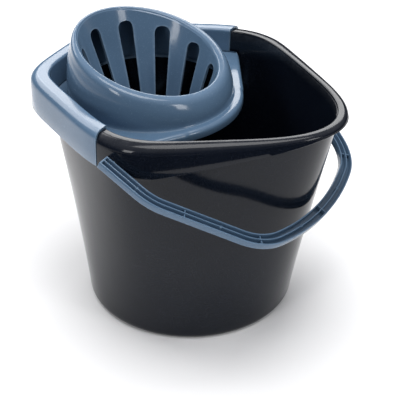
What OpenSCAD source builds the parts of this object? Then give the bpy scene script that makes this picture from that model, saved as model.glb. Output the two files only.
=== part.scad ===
// Household mop bucket with a drop-in wringer and a swinging bail handle.
// Millimetres, +Z up, +X toward the pouring spout, Y along the bail's pivots.
// The foot stands on Z = 0 and the origin is the centre of the footprint's box.

/* [Bucket] */
// Height of the rim above the floor
rim_h = 260; // [200:1:320]
// Radius of the round base
base_r = 117; // [90:1:140]
// Distance from the rim's centre to its flat wringer end
rim_end = 85.4; // [70:0.1:110]
// Distance from the rim's centre to its short rear flanks
rim_rear = 98.2; // [80:0.1:120]
// Direction of the rear flanks, measured from the wringer end
rear_turn = 62; // [50:1:70]
// Distance from the rim's centre to its long front flanks
rim_front = 163; // [130:0.1:190]
// Direction of the front flanks, measured from the spout
front_turn = 56; // [48:1:64]
// Distance of the rim's centre behind the middle of the base
rim_back = 66; // [50:1:80]
// Wall thickness of the bucket
wall = 2.5; // [2:0.1:4]
// Height of the space below the floor plate
foot_h = 5.5; // [3:0.5:10]
// Radius of the rounded edge under the base
base_round = 8; // [6:0.5:12]

/* [Rim] */
// How far the skirt stands out from the inner wall
skirt_out = 17; // [14:0.5:24]
// How far the lip stands out at the tip of the spout
spout_out = 8.5; // [6:0.5:12]
// Depth of the skirt below the rim at the pivots
skirt_drop = 38; // [30:1:60]
// Where the skirt starts to rise toward the spout, along X from the base's middle
skirt_turn = 25; // [0:1:60]
// Rise of the skirt's lower edge for each millimetre toward the spout
skirt_rise = 0.228; // [0.15:0.001:0.26]

/* [Wringer] */
// Where the collar's two arms end, along X from the base's middle
arm_end = -21; // [-40:1:0]
// Plate thickness of the wringer
plate = 2.6; // [2:0.1:4]
// Depth of the tray's upper face below the rim
tray_drop = 25; // [15:1:40]
// Radius of the ring where it stands on the tray
ring_foot_r = 91; // [80:0.5:96]
// Outer radius of the ring's lip
ring_lip_r = 86; // [75:0.5:92]
// Height of the middle of the ring's lip above the rim
ring_rise = 24; // [10:1:40]
// Tilt of the ring's lip down toward the spout
ring_tilt = 15.7; // [0:0.1:22]
// Distance of the ring's axis behind the middle of the base
ring_back = 50; // [40:1:60]
// Number of drain slots around the cone
slots = 11; // [7:1:15]
// Width of a drain slot at its upper end
slot_top_w = 17.5; // [8:0.5:18]
// Width of a drain slot at its lower end
slot_low_w = 8.5; // [5:0.5:12]

/* [Bail] */
// Gap between the skirt and the bail's arms
side_gap = 0.5; // [0.3:0.1:3]
// Width of the bail's band
band_w = 14; // [12:0.5:24]
// Thickness of the bail's band
band_t = 8; // [6:0.5:14]
// Depth of the bail's pivot below the rim
pivot_drop = 24; // [18:1:30]
// Angle of the hanging bail from straight up, toward the spout
hang = 118.5; // [100:0.5:150]
// Radius of the pivot pins
pin_r = 3.5; // [2.5:0.1:3.8]

/* [Hidden] */
$fn = 72;
eps = 0.01;
tray_z = rim_h - tray_drop;
ring_top = rim_h + ring_rise;
pivot_z = rim_h - pivot_drop;
fit_gap = 0.3;
end_gap = 1.5;
pin_gap = 0.05;
steps = 96;
rear_p = 8.5;
spout_p = 3.3;
roll_r = 11;
step_out = skirt_out - plate - fit_gap;
collar_top = rim_h + plate + fit_gap;
collar_low = rim_h - 36;
wall_h = rim_h - 3;
pivot_x = 0.5;
boss_r = 8;
pin_len = 10;
flare = 0.3;
cone_x = -45;
cone_tip = rim_h - 200;
cone_k = 0.34;
cone_low = rim_h - 110;
apron_r = 102;
// How far the tray's straight sides reach toward the spout
tray_side = 33;
// How far the slots' upper ends lie below the lip
slot_drop = 13;
flange_h = 8;
lip_drop = 5;
near = -1;
far = 1;
// The rim's outline: five flanks blended with a power that softens toward the rear corners
// and sharpens at the spout.
flanks = [[180, rim_end], [180 - rear_turn, rim_rear], [rear_turn - 180, rim_rear],
          [front_turn, rim_front], [-front_turn, rim_front]];
function power_at(a) = rear_p + (spout_p - rear_p) * pow(0.5 + 0.5 * cos(a), 3);
function total(v, i = 0) = i == len(v) ? 0 : v[i] + total(v, i + 1);
function reach(a, o) =
  let (p = power_at(a))
  pow(total([for (f = flanks) pow(max(0, cos(a - f[0]) / (f[1] + o)), p)]), -1 / p);
function rim_pt(a, o) = [reach(a, o) * cos(a) - rim_back, reach(a, o) * sin(a)];
function turn_at(i) = let (t = i * 360 / steps) t - 20 * sin(t);
turns = [for (i = [0 : steps - 1]) turn_at(i)];
// A point of the tapering wall: from the round base up to the rim's outline
function wall_pt(a, o, z) =
  let (q = rim_pt(a, o), r = norm(q), k = (z - base_round) / (rim_h - base_round),
       b = (base_r - wall + o) / r)
  [q[0] * (k + (1 - k) * b), q[1] * (k + (1 - k) * b), z];
function at_z(q, z) = [q[0], q[1], z];
// Half widths of the rim's inner edge and of the skirt's lower edge
rim_y = max([for (a = turns) rim_pt(a, 0)[1]]);
skirt_y = max([for (a = turns) rim_pt(a, skirt_out + flare)[1]]);
arm_y = skirt_y + side_gap + band_w / 2;
// Moves the base's middle so that the whole footprint is centred on the origin
shift_x = -(rim_pt(180, skirt_out + flare)[0] + rim_pt(0, spout_out + flare)[0]) / 2;
// How far the skirt stands out and how low it hangs at a place along X
function toward_spout(x) = max(0, min(1, (x - skirt_turn) / (160 - skirt_turn)));
function skirt_at(x) = skirt_out + (spout_out - skirt_out) * toward_spout(x);
function skirt_low(x) =
  rim_h - skirt_drop + skirt_rise * max(0, x - skirt_turn);

// A ring of closed sections joined side by side, and closed on itself
module ring_loft(rings) {
  n = len(rings);
  m = len(rings[0]);
  polyhedron(
    points = [for (r = rings, p = r) p],
    faces = [for (i = [0 : n - 1], j = [0 : m - 1])
      let (a = i * m + j, b = i * m + (j + 1) % m,
           c = ((i + 1) % n) * m + (j + 1) % m, d = ((i + 1) % n) * m + j)
      each [[a, b, c], [a, c, d]]],
    convexity = 10);
}

module in_place() {
  translate([shift_x, 0, 0]) children();
}

module black() {
  color([0.035, 0.04, 0.05]) children();
}

module slate() {
  color([0.30, 0.38, 0.48]) children();
}

// ---- Bucket ----------------------------------------------------------------

module grip_space(extra = 0) {
  depth = 27 + extra;
  half = 36 + extra;
  top = 20 + extra;
  translate([-base_r - 12, -half + 14, -1]) cube([12 + depth, 2 * half - 28, top + 1]);
  translate([-base_r - 12, -half, -1]) cube([12 + depth - 14, 2 * half, top + 1]);
  for (s = [-1, 1])
    translate([-base_r + depth - 14, s * (half - 14), -1]) cylinder(r = 14, h = top + 1);
}

module tub_wall() {
  black() in_place() difference() {
    ring_loft([for (a = turns) [
      wall_pt(a, 0, base_round),
      wall_pt(a, 0, wall_h),
      wall_pt(a, wall, wall_h),
      wall_pt(a, wall, base_round)
    ]]);
    grip_space();
  }
}

floor_r = base_r - base_round - 1;

module tub_floor() {
  black() in_place() difference() {
    translate([0, 0, foot_h]) cylinder(r = floor_r, h = base_round - foot_h, $fn = 144);
    grip_space();
  }
}

// The moulded foot with its rounded outer edge, under the wall and around the floor
module foot_ring() {
  c = base_r - base_round;
  black() in_place() difference() {
    rotate_extrude($fn = 144) {
      translate([c - 4, 0]) square([4, foot_h]);
      translate([floor_r, foot_h]) square([c - floor_r, base_round - foot_h]);
      intersection() {
        translate([c, base_round]) circle(r = base_round);
        translate([c, 0]) square([base_round, base_round]);
      }
    }
    grip_space();
  }
}

function end_reach(z) = -wall_pt(180, 0, z)[0] + 0.2;

module hand_grip() {
  black() in_place() difference() {
    intersection() {
      grip_space(wall);
      translate([0, 0, base_round]) cylinder(r1 = end_reach(base_round),
        r2 = end_reach(base_round + 40), h = 40, $fn = 144);
    }
    grip_space();
  }
}

// Section of the rolled lip from the inner edge out to where the skirt starts
function lip_section(a) =
  let (o = skirt_at(rim_pt(a, 0)[0]), r = min(roll_r, o - 4), c = o - r, h = rim_h,
       outer = [for (t = [0 : 15 : 90]) [c + r * sin(t), h - r + r * cos(t)]],
       inner = [for (t = [90 : -15 : 0])
         [c + (r - wall) * sin(t), h - r + (r - wall) * cos(t)]])
  concat([[0, wall_h], [0, h - 1], [1, h]], outer, inner, [[wall, h - wall], [wall, wall_h]]);

function lip_ring(a) = [for (q = lip_section(a)) at_z(rim_pt(a, q[0]), q[1])];

// The plain strip where the collar sits, a little lower and closer in than the open rim
module collar_side(cut) {
  translate([-300, -200, rim_h - 90]) cube([300 + cut, 400, 130]);
}

module rim_lip() {
  black() in_place() difference() {
    ring_loft([for (a = turns) lip_ring(a)]);
    collar_side(arm_end);
  }
}

function skirt_ring(a) =
  let (x = rim_pt(a, 0)[0], o = skirt_at(x), r = min(roll_r, o - 4),
       top = rim_h - r, low = min(top - 1, skirt_low(x)))
  [at_z(rim_pt(a, o - wall), low), at_z(rim_pt(a, o - wall), top),
   at_z(rim_pt(a, o), top), at_z(rim_pt(a, o + flare), low)];

module rim_skirt() {
  black() in_place() difference() {
    ring_loft([for (a = turns) skirt_ring(a)]);
    collar_side(arm_end);
    for (s = [near, far])
      translate([pivot_x, s * (skirt_y + 5), pivot_z])
        rotate([s * 90, 0, 0]) cylinder(r = pin_r + pin_gap, h = 15);
  }
}

// Points of a rolled edge of outer radius r, t wide, from one angle to another
function roll(c, r, t, h, from, to) = concat(
  [for (k = [0 : 3]) let (v = from + (to - from) * k / 3)
    [c + r * sin(v), h - r + r * cos(v)]],
  [for (k = [3 : -1 : 0]) let (v = from + (to - from) * k / 3)
    [c + (r - t) * sin(v), h - r + (r - t) * cos(v)]]);
// The roll of the step, which leaves room for the wall behind it
function step_r(o) = min(9, o - wall - 1);
function step_top(o) = concat([[0, wall_h], [0, rim_h - 1], [1, rim_h]],
  roll(o - step_r(o), step_r(o), wall, rim_h, 0, 45), [[wall, rim_h - wall], [wall, wall_h]]);
function step_leg(o) = let (q = roll(o - step_r(o), step_r(o), wall, rim_h, 45, 90))
  concat([for (k = [0 : 3]) q[k]], [[o, rim_h - 32], [o - wall, rim_h - 32]],
         [for (k = [4 : 7]) q[k]]);

// The part of a section carried all round the rim that lies on the wringer's side
module wringer_side(section, cut) {
  intersection() {
    ring_loft([for (a = turns) [for (q = section) collar_pt(a, q)]]);
    collar_side(cut);
  }
}

module rim_step() {
  black() in_place() wringer_side(step_top(step_out), arm_end);
}

module step_skirt() {
  black() in_place() wringer_side(step_leg(step_out), arm_end);
}

// A boss that bridges wall and skirt, with a blind bore for the bail's pin
module pivot_boss(side) {
  y_in = rim_y + wall - 2.4;
  y_out = skirt_y - wall + 0.2;
  black() in_place() translate([pivot_x, side * y_out, pivot_z]) rotate([side * 90, 0, 0])
    difference() {
      cylinder(r = boss_r, h = y_out - y_in);
      translate([0, 0, -1]) cylinder(r = pin_r + pin_gap, h = pin_len + 1);
    }
}

// ---- Wringer ---------------------------------------------------------------

// The collar is an inverted channel that hooks over the step in the rim: a rounded top, a
// leg outside the rim and a leg inside the bucket, which follows the taper of the wall
collar_r = 11;
collar_c = skirt_out - collar_r;
function collar_pt(a, q) =
  q[0] < 0 && q[1] < rim_h - 3 ? wall_pt(a, q[0], q[1]) : at_z(rim_pt(a, q[0]), q[1]);

module wringer_collar_top() {
  h = collar_top;
  slate() in_place() wringer_side(concat(
    [[-plate - fit_gap, h - plate], [-plate - fit_gap, h - 2.5], [-plate + 0.4, h - 0.7],
     [-plate + 2, h]],
    roll(collar_c, collar_r, plate, h, 0, 45), [[-fit_gap, h - plate]]),
    arm_end - end_gap);
}

module wringer_collar_outer() {
  q = roll(collar_c, collar_r, plate, collar_top, 45, 90);
  o = skirt_out + flare;
  slate() in_place() wringer_side(concat(
    [for (k = [0 : 3]) q[k]], [[o, collar_low], [o - plate, collar_low]],
    [for (k = [4 : 7]) q[k]]), arm_end - end_gap);
}

module wringer_collar_inner() {
  low = tray_z - plate;
  high = collar_top - plate;
  slate() in_place() wringer_side([
    [-plate - fit_gap, low], [-plate - fit_gap, wall_h - 4], [-plate - fit_gap, high],
    [-fit_gap, high], [-fit_gap, wall_h - 4], [-fit_gap, low]], arm_end - end_gap);
}

module inner_outline(o, z) {
  polygon([for (a = turns) let (q = wall_pt(a, o, z)) [q[0], q[1]]]);
}

// Plan of the tray: a round apron about the ring, running out to both collar arms
module tray_plan(grow = 0) {
  union() {
    translate([-ring_back, 0]) circle(r = apron_r + grow, $fn = 120);
    polygon([[-170, -150], [arm_end + 9 + grow, -150], [arm_end + 9 + grow, 3 - rim_y],
             [tray_side + grow, -apron_r * 0.6], [tray_side + grow, apron_r * 0.6],
             [arm_end + 9 + grow, rim_y - 3], [arm_end + 9 + grow, 150], [-170, 150]]);
  }
}

module wringer_tray() {
  slate() in_place() difference() {
    translate([0, 0, tray_z - plate]) linear_extrude(height = plate) intersection() {
      tray_plan();
      inner_outline(-plate - fit_gap, tray_z - plate);
    }
    translate([-ring_back, 0, tray_z - 10]) cylinder(r = ring_foot_r - plate, h = 20, $fn = 120);
  }
}

module wringer_flange() {
  low = tray_z - plate - flange_h;
  slate() in_place() translate([0, 0, low]) linear_extrude(height = flange_h) intersection() {
    difference() {
      tray_plan();
      tray_plan(-plate);
      translate([-210, -150]) square([200 + arm_end, 300]);
    }
    inner_outline(-fit_gap - 0.4, low);
  }
}

// A point of the tilted circle of the ring's lip, h above its plane
function lip_pt(t, r, h) = [
  -ring_back + r * cos(t) * cos(ring_tilt) + h * sin(ring_tilt),
  r * sin(t),
  ring_top - r * cos(t) * sin(ring_tilt) + h * cos(ring_tilt)
];

function foot_pt(t, r, z) = [-ring_back + r * cos(t), r * sin(t), z];

// Where the cone's wall stands at a bearing, pushed out by o, on the lip's plane moved by h
function cone_r(z) = (z - cone_tip) * cone_k;
function cone_pt(t, o, h) =
  let (s = tan(ring_tilt), z0 = ring_top + h + s * (-ring_back - cone_x),
       r = (cone_k * (z0 - cone_tip) + o) / (1 + cone_k * s * cos(t)))
  [cone_x + r * cos(t), r * sin(t), z0 - s * r * cos(t)];

ring_turns = [for (i = [0 : 79]) i * 360 / 80];

module wringer_ring() {
  slate() in_place() ring_loft([for (t = ring_turns) [
    foot_pt(t, ring_foot_r - plate, tray_z),
    lip_pt(t, ring_lip_r - plate - 0.4, -lip_drop),
    lip_pt(t, ring_lip_r - 0.2, -lip_drop),
    lip_pt(t, ring_lip_r - 0.3, -lip_drop - 1),
    foot_pt(t, ring_foot_r, tray_z + 5),
    foot_pt(t, ring_foot_r + 0.5, tray_z + 1.2),
    foot_pt(t, ring_foot_r + 1.5, tray_z)
  ]]);
}

// The flat rounded lip between the ring's wall and the mouth of the cone
module wringer_lip() {
  slate() in_place() ring_loft([for (t = ring_turns) [
    lip_pt(t, ring_lip_r - 0.2, -lip_drop),
    cone_pt(t, 0, -lip_drop),
    cone_pt(t, 0.3, -2),
    cone_pt(t, 1.3, -0.4),
    lip_pt(t, ring_lip_r - 2.2, 0),
    lip_pt(t, ring_lip_r - 0.6, -0.8),
    lip_pt(t, ring_lip_r, -2.4)
  ]]);
}

module drain_slot(bearing) {
  lean = atan(cone_k);
  z_top = ring_top - slot_drop - sin(ring_tilt) * 76 * cos(bearing);
  s_top = (z_top - cone_tip) / cos(lean) - slot_top_w / 2;
  s_low = (cone_low + 16 - cone_tip) / cos(lean);
  translate([cone_x, 0, cone_tip]) rotate([0, 0, bearing]) rotate([0, lean, 0])
    rotate([90, 0, 90]) translate([0, 0, -9]) linear_extrude(height = 18) {
      translate([0, s_top]) circle(r = slot_top_w / 2, $fn = 32);
      translate([0, s_low]) circle(r = slot_low_w / 2, $fn = 32);
      polygon([[-slot_low_w / 2, s_low], [slot_low_w / 2, s_low],
               [slot_top_w / 2, s_top], [-slot_top_w / 2, s_top]]);
    }
}

module above_lip(h) {
  translate([-ring_back, 0, ring_top]) rotate([0, ring_tilt, 0]) translate([-200, -200, h])
    cube([400, 400, 200]);
}

// The slotted cone below the lip, all of it
module slotted_cone() {
  high = ring_top + 40;
  difference() {
    translate([cone_x, 0, 0]) rotate_extrude($fn = 120) polygon([
      [cone_r(cone_low), cone_low], [cone_r(high), high],
      [cone_r(high) + plate, high], [cone_r(cone_low) + plate, cone_low]]);
    above_lip(-lip_drop);
    for (i = [0 : slots - 1]) drain_slot(180 + i * 360 / slots);
  }
}

// Where the slots' straight sides start and end: a level and a plane along the lip
bars_low = cone_low + 16;
bars_drop = -24.6;

module below_bars(z) {
  translate([-200, -200, 0]) cube([400, 400, z]);
}

module wringer_cone_band() {
  slate() in_place() intersection() {
    slotted_cone();
    above_lip(bars_drop);
  }
}

module wringer_cone_bars() {
  slate() in_place() difference() {
    slotted_cone();
    above_lip(bars_drop);
    below_bars(bars_low);
  }
}

module wringer_cone_foot() {
  slate() in_place() intersection() {
    slotted_cone();
    below_bars(bars_low);
  }
}

module wringer_hub() {
  r = cone_r(cone_low) + plate;
  slate() in_place() translate([cone_x, 0, cone_low - plate]) difference() {
    cylinder(r = r, h = plate, $fn = 120);
    for (i = [0 : 5]) rotate([0, 0, i * 60]) translate([r * 0.58, 0, -1])
      cylinder(r = 4, h = plate + 2, $fn = 32);
    translate([0, 0, -1]) cylinder(r = 4, h = plate + 2, $fn = 32);
  }
}

// ---- Bail ------------------------------------------------------------------

arm_len = 40;
bend_r = 60;
bend_a = 28;
lean_len = 86;
corner_r = 60;
corner_a = 46;
tail = 9;
rib_gap = 0.15;
bend_c = [arm_y - bend_r, arm_len];
lean_p = [bend_c[0] + bend_r * cos(bend_a), bend_c[1] + bend_r * sin(bend_a)];
lean_q = [lean_p[0] - lean_len * sin(bend_a), lean_p[1] + lean_len * cos(bend_a)];
corner_c = [lean_q[0] - corner_r * cos(bend_a), lean_q[1] - corner_r * sin(bend_a)];
top_a = bend_a + corner_a;
top_p = [corner_c[0] + corner_r * cos(top_a), corner_c[1] + corner_r * sin(top_a)];
top_r = top_p[0] / cos(top_a);
top_c = [0, top_p[1] - top_r * sin(top_a)];

// Puts a bail drawn flat (Y across, X along its depth, Z its open face) into the bucket
module hung() {
  in_place() translate([pivot_x, 0, pivot_z]) rotate([0, hang - 90, 0]) children();
}

function on_arc(c, r, a) = [c[0] + r * cos(a), c[1] + r * sin(a)];
// One half of a line that keeps a distance o outside the band's centre line, foot to crown
function half_line(o) = concat(
  [[arm_y + o, -tail]],
  [for (k = [0 : 8]) on_arc(bend_c, bend_r + o, bend_a * k / 8)],
  [for (k = [0 : 12]) on_arc(corner_c, corner_r + o, bend_a + corner_a * k / 12)],
  [for (k = [1 : 7]) on_arc(top_c, top_r + o, top_a + (90 - top_a) * k / 8)]);
function whole_line(o) =
  let (h = half_line(o), n = len(h))
  concat([for (q = h) [q[1], q[0]]], [[top_c[1] + top_r + o, 0]],
         [for (i = [n - 1 : -1 : 0]) [h[i][1], -h[i][0]]]);
function turned(v) = [for (i = [len(v) - 1 : -1 : 0]) v[i]];

// A strip of the band between two distances from its centre line
module strip(o0, o1, z0, z1) {
  slate() hung() translate([0, 0, z0]) linear_extrude(height = z1 - z0)
    polygon(concat(whole_line(o1), turned(whole_line(o0))));
}

skin = 2;
half_w = band_w / 2;
half_t = band_t / 2;

module bail_web() {
  strip(-half_w, half_w, -half_t, -half_t + skin);
}

module bail_outer_wall() {
  strip(half_w - skin, half_w, -half_t + skin, half_t);
}

module bail_inner_wall() {
  strip(-half_w, -half_w + skin, -half_t + skin, half_t);
}

module bail_centre_rib() {
  strip(-skin / 2, skin / 2, -half_t + skin, half_t);
}

// Cross features in the two channels: studs on the centre rib and short ticks, in turn
module cross_tick(p, a) {
  translate([p[1], p[0], 0]) rotate([0, 0, -a]) for (s = [-1, 1])
    translate([-0.8, (s < 0 ? -half_w + skin : skin / 2) + rib_gap, -half_t + skin])
      cube([1.6, half_w - 1.5 * skin - 2 * rib_gap, band_t - skin - 1]);
}

module cross_stud(p, a) {
  translate([p[1], p[0], -half_t + skin]) rotate([0, 0, -a]) difference() {
    cylinder(r = 2.6, h = band_t - skin);
    translate([-4, -skin / 2 - rib_gap, -1]) cube([8, skin + 2 * rib_gap, band_t]);
  }
}

module bail_cross_ribs() {
  top_mid = (top_a + 90) / 2;
  slate() hung() for (m = [0, 1]) mirror([0, m, 0]) {
    cross_stud([arm_y, arm_len - 4], 0);
    cross_tick(lean_p + 22 * [-sin(bend_a), cos(bend_a)], bend_a);
    cross_stud(lean_p + 62 * [-sin(bend_a), cos(bend_a)], bend_a);
    cross_tick(on_arc(corner_c, corner_r, bend_a + corner_a * 0.45), bend_a + corner_a * 0.45);
    cross_stud(on_arc(top_c, top_r, top_mid - 2), top_mid - 2);
    if (m == 0) cross_tick(on_arc(top_c, top_r, 90), 90);
  }
}

module bail_end(side) {
  slate() hung() translate([-tail, side * arm_y, 0]) {
    for (s = [-1, 1])
      translate([0, s < 0 ? -half_w + skin : skin / 2, -half_t + skin])
        cube([skin, half_w - 1.5 * skin, band_t - skin]);
  }
}

module bail_pin(side) {
  y_end = arm_y - half_w;
  slate() hung() translate([0, side * y_end, 0]) rotate([side * 90, 0, 0])
    cylinder(r = pin_r, h = pin_len);
}

tub_wall();
tub_floor();
foot_ring();
hand_grip();
rim_lip();
rim_skirt();
rim_step();
step_skirt();
pivot_boss(near);  // pivot_boss_near
pivot_boss(far);  // pivot_boss_far
wringer_collar_top();
wringer_collar_outer();
wringer_collar_inner();
wringer_tray();
wringer_flange();
wringer_ring();
wringer_lip();
wringer_cone_band();
wringer_cone_bars();
wringer_cone_foot();
wringer_hub();
bail_web();
bail_outer_wall();
bail_inner_wall();
bail_centre_rib();
bail_cross_ribs();
bail_end(near);  // bail_end_near
bail_end(far);  // bail_end_far
bail_pin(near);  // bail_pin_near
bail_pin(far);  // bail_pin_far
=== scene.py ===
"""Looks for a household mop bucket: a black tub with a pouring spout, a slate wringer that
hooks over its rim, and a ribbed bail. Metres, +Z up, +X toward the spout; the sizes that the
classes hold are millimetres from the middle of the round base."""

import sys

import logging
import math
from collections.abc import Callable, Iterable, Sequence
from dataclasses import dataclass, field
from enum import Enum
from functools import cached_property

import bmesh
import bpy
from bmesh.types import BMesh, BMVert
from mathutils import Matrix, Vector


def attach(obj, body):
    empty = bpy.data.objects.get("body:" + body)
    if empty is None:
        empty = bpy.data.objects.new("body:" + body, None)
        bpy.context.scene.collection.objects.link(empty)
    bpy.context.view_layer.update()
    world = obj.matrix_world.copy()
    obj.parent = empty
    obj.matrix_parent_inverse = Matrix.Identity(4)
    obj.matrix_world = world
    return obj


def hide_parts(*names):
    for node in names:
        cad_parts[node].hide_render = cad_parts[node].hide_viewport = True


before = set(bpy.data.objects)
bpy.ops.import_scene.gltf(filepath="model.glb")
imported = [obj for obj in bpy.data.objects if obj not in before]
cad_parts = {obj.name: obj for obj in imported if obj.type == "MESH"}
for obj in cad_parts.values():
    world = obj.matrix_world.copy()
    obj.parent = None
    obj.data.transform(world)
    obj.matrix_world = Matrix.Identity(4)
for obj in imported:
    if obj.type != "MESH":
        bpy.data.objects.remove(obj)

LOG = logging.getLogger("mop_bucket")
MM = 0.001
Place = Callable[[int], Vector]


class Body(Enum):
    """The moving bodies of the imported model."""

    BUCKET = "bucket"
    WRINGER = "wringer"
    BAIL = "bail"


class Side(Enum):
    """The two ends of the bail's pivot axis."""

    NEAR = -1
    FAR = 1


def blend(a: float, b: float, t: float) -> float:
    """Returns the value a share t of the way from a to b."""
    return a + (b - a) * t


def cosd(angle: float) -> float:
    """Returns the cosine of an angle in degrees."""
    return math.cos(math.radians(angle))


def sind(angle: float) -> float:
    """Returns the sine of an angle in degrees."""
    return math.sin(math.radians(angle))


# ---- Finishes ---------------------------------------------------------------------------


class Graph:
    """The node tree of a material or a world, with short ways to add and join nodes."""

    def __init__(self, owner: bpy.types.Material | bpy.types.World) -> None:
        """Empties the tree and keeps it.

        Args:
            owner: The material or world whose nodes are made.
        """
        owner.use_nodes = True
        self.tree = owner.node_tree
        self.tree.nodes.clear()

    def add(self, kind: str, **settings: object) -> bpy.types.Node:
        """Adds one node.

        Args:
            kind: The node's type without its "ShaderNode" prefix.
            **settings: Attributes of the node, or "_Socket" defaults with _ for spaces.

        Returns:
            The new node.
        """
        node = self.tree.nodes.new("ShaderNode" + kind)
        for name, value in settings.items():
            if name.startswith("_"):
                node.inputs[name[1:].replace("_", " ")].default_value = value
            else:
                setattr(node, name, value)
        return node

    def join(self, source: bpy.types.NodeSocket, target: bpy.types.NodeSocket) -> None:
        """Links an output to an input."""
        self.tree.links.new(source, target)

    def noise(self, at: bpy.types.NodeSocket, scale: float, detail: float,
              rough: float = 0.5) -> bpy.types.NodeSocket:
        """Adds a noise pattern.

        Args:
            at: The coordinates it reads.
            scale: Its scale per metre.
            detail: Its octaves.
            rough: How strong the small octaves are.

        Returns:
            The noise's factor.
        """
        node = self.add("TexNoise", _Scale=scale, _Detail=detail, _Roughness=rough)
        self.join(at, node.inputs["Vector"])
        return node.outputs["Fac"]

    def span(self, value: bpy.types.NodeSocket, low: float, high: float, to_low: float,
             to_high: float) -> bpy.types.NodeSocket:
        """Maps a value from one range to another, clamped.

        Args:
            value: The value to map.
            low: Its lower end.
            high: Its upper end.
            to_low: The result at the lower end.
            to_high: The result at the upper end.

        Returns:
            The mapped value.
        """
        node = self.add("MapRange", _From_Min=low, _From_Max=high, _To_Min=to_low,
                        _To_Max=to_high)
        self.join(value, node.inputs["Value"])
        return node.outputs["Result"]

    def maths(self, kind: str, a: bpy.types.NodeSocket,
              b: bpy.types.NodeSocket | float) -> bpy.types.NodeSocket:
        """Adds a maths node on a value and a value or number, and returns its result."""
        node = self.add("Math", operation=kind)
        self.join(a, node.inputs[0])
        if isinstance(b, (int, float)):
            node.inputs[1].default_value = b
        else:
            self.join(b, node.inputs[1])
        return node.outputs[0]

    def mix(self, share: bpy.types.NodeSocket, a: bpy.types.NodeSocket | Sequence[float],
            b: bpy.types.NodeSocket | Sequence[float]) -> bpy.types.NodeSocket:
        """Mixes two colours.

        Args:
            share: How much of the second colour is taken.
            a: The first colour, linear.
            b: The second colour, linear.

        Returns:
            The mixed colour.
        """
        node = self.add("Mix", data_type="RGBA")
        self.join(share, node.inputs["Factor"])
        for socket, colour in ((node.inputs[6], a), (node.inputs[7], b)):
            if isinstance(colour, bpy.types.NodeSocket):
                self.join(colour, socket)
            else:
                socket.default_value = (*colour, 1.0)
        return node.outputs[2]


@dataclass(frozen=True)
class MouldedPlastic:
    """Glossy injection-moulded plastic with flow marks, orange peel, fine scuffs, edges
    painted paler as handling wear and as a painted highlight, and painted shade in its
    creases."""

    name: str
    slot: str
    base: tuple[float, float, float]
    cloud: tuple[float, float, float]
    edge: tuple[float, float, float]
    gloss: float
    sheen: float
    scuff: float
    dust: float

    def make(self) -> bpy.types.Material:
        """Builds the material.

        Returns:
            The finished material.
        """
        material = bpy.data.materials.new(self.name)
        g = Graph(material)
        shader = g.add("BsdfPrincipled", _IOR=1.49, _Specular_IOR_Level=self.sheen)
        at = g.add("TexCoord").outputs["Object"]
        flow = g.noise(at, 9.0, 3.0, 0.55)
        colour = g.mix(g.span(flow, 0.35, 0.68, 0.0, 1.0), self.base, self.cloud)
        speck = g.span(g.noise(at, 900.0, 2.0), 0.62, 0.74, 0.0, 0.35)
        colour = g.mix(speck, colour, self.edge)
        stretch = g.add("Mapping", _Scale=(60.0, 85.0, 900.0), _Rotation=(0.5, 0.35, 0.2))
        g.join(at, stretch.inputs["Vector"])
        hair = g.noise(stretch.outputs["Vector"], 1.0, 2.0)
        patch = g.span(g.noise(at, 14.0, 2.0), 0.46, 0.66, 0.0, 1.0)
        scratch = g.maths("MULTIPLY", g.span(hair, 0.62, 0.72, 0.0, 1.0), patch)
        sharp = g.add("NewGeometry").outputs["Pointiness"]
        broken = g.span(g.noise(at, 160.0, 4.0, 0.65), 0.36, 0.6, 0.35, 1.0)
        # Sharp convex edges are painted paler: partly handling wear, partly a painted
        # highlight along the edges.
        edge_wear_and_highlight = g.maths("MULTIPLY", g.span(sharp, 0.53, 0.62, 0.0, 1.0), broken)
        colour = g.mix(g.maths("MULTIPLY", edge_wear_and_highlight, 0.7), colour, self.edge)
        # Painted shade: creases and channels, where Pointiness is low, are darkened toward a
        # near-black of the base colour.
        painted_crease_shade = g.span(sharp, 0.36, 0.475, 0.8, 0.0)
        colour = g.mix(painted_crease_shade, colour, [channel * 0.15 for channel in self.base])
        pale = g.mix(g.maths("MULTIPLY", scratch, 0.12), colour, self.edge)
        up = g.add("SeparateXYZ")
        g.join(g.add("NewGeometry").outputs["Normal"], up.inputs[0])
        settled = g.maths("MULTIPLY", g.span(up.outputs["Z"], 0.5, 1.0, 0.0, self.dust),
                          g.span(g.noise(at, 60.0, 5.0, 0.7), 0.45, 0.75, 0.0, 1.0))
        g.join(g.mix(settled, pale, (0.45, 0.46, 0.47)), shader.inputs["Base Color"])
        rough = g.span(g.noise(at, 30.0, 4.0, 0.6), 0.3, 0.72, self.gloss * 0.8,
                       self.gloss * 1.35)
        rough = g.maths("ADD", rough, g.maths("MULTIPLY", scratch, self.scuff))
        rough = g.maths("ADD", rough, g.maths("MULTIPLY", edge_wear_and_highlight, 0.06))
        g.join(g.maths("ADD", rough, g.maths("MULTIPLY", settled, 0.5)),
               shader.inputs["Roughness"])
        peel = g.add("Bump", _Strength=0.05, _Distance=0.0006)
        g.join(g.noise(at, 260.0, 2.0), peel.inputs["Height"])
        sink = g.add("Bump", _Strength=0.10, _Distance=0.004)
        g.join(g.noise(at, 16.0, 1.0), sink.inputs["Height"])
        g.join(peel.outputs["Normal"], sink.inputs["Normal"])
        cut = g.add("Bump", _Strength=0.12, _Distance=0.0002, invert=True)
        g.join(scratch, cut.inputs["Height"])
        g.join(sink.outputs["Normal"], cut.inputs["Normal"])
        g.join(cut.outputs["Normal"], shader.inputs["Normal"])
        out = g.add("OutputMaterial")
        g.join(shader.outputs["BSDF"], out.inputs["Surface"])
        return material


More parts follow.
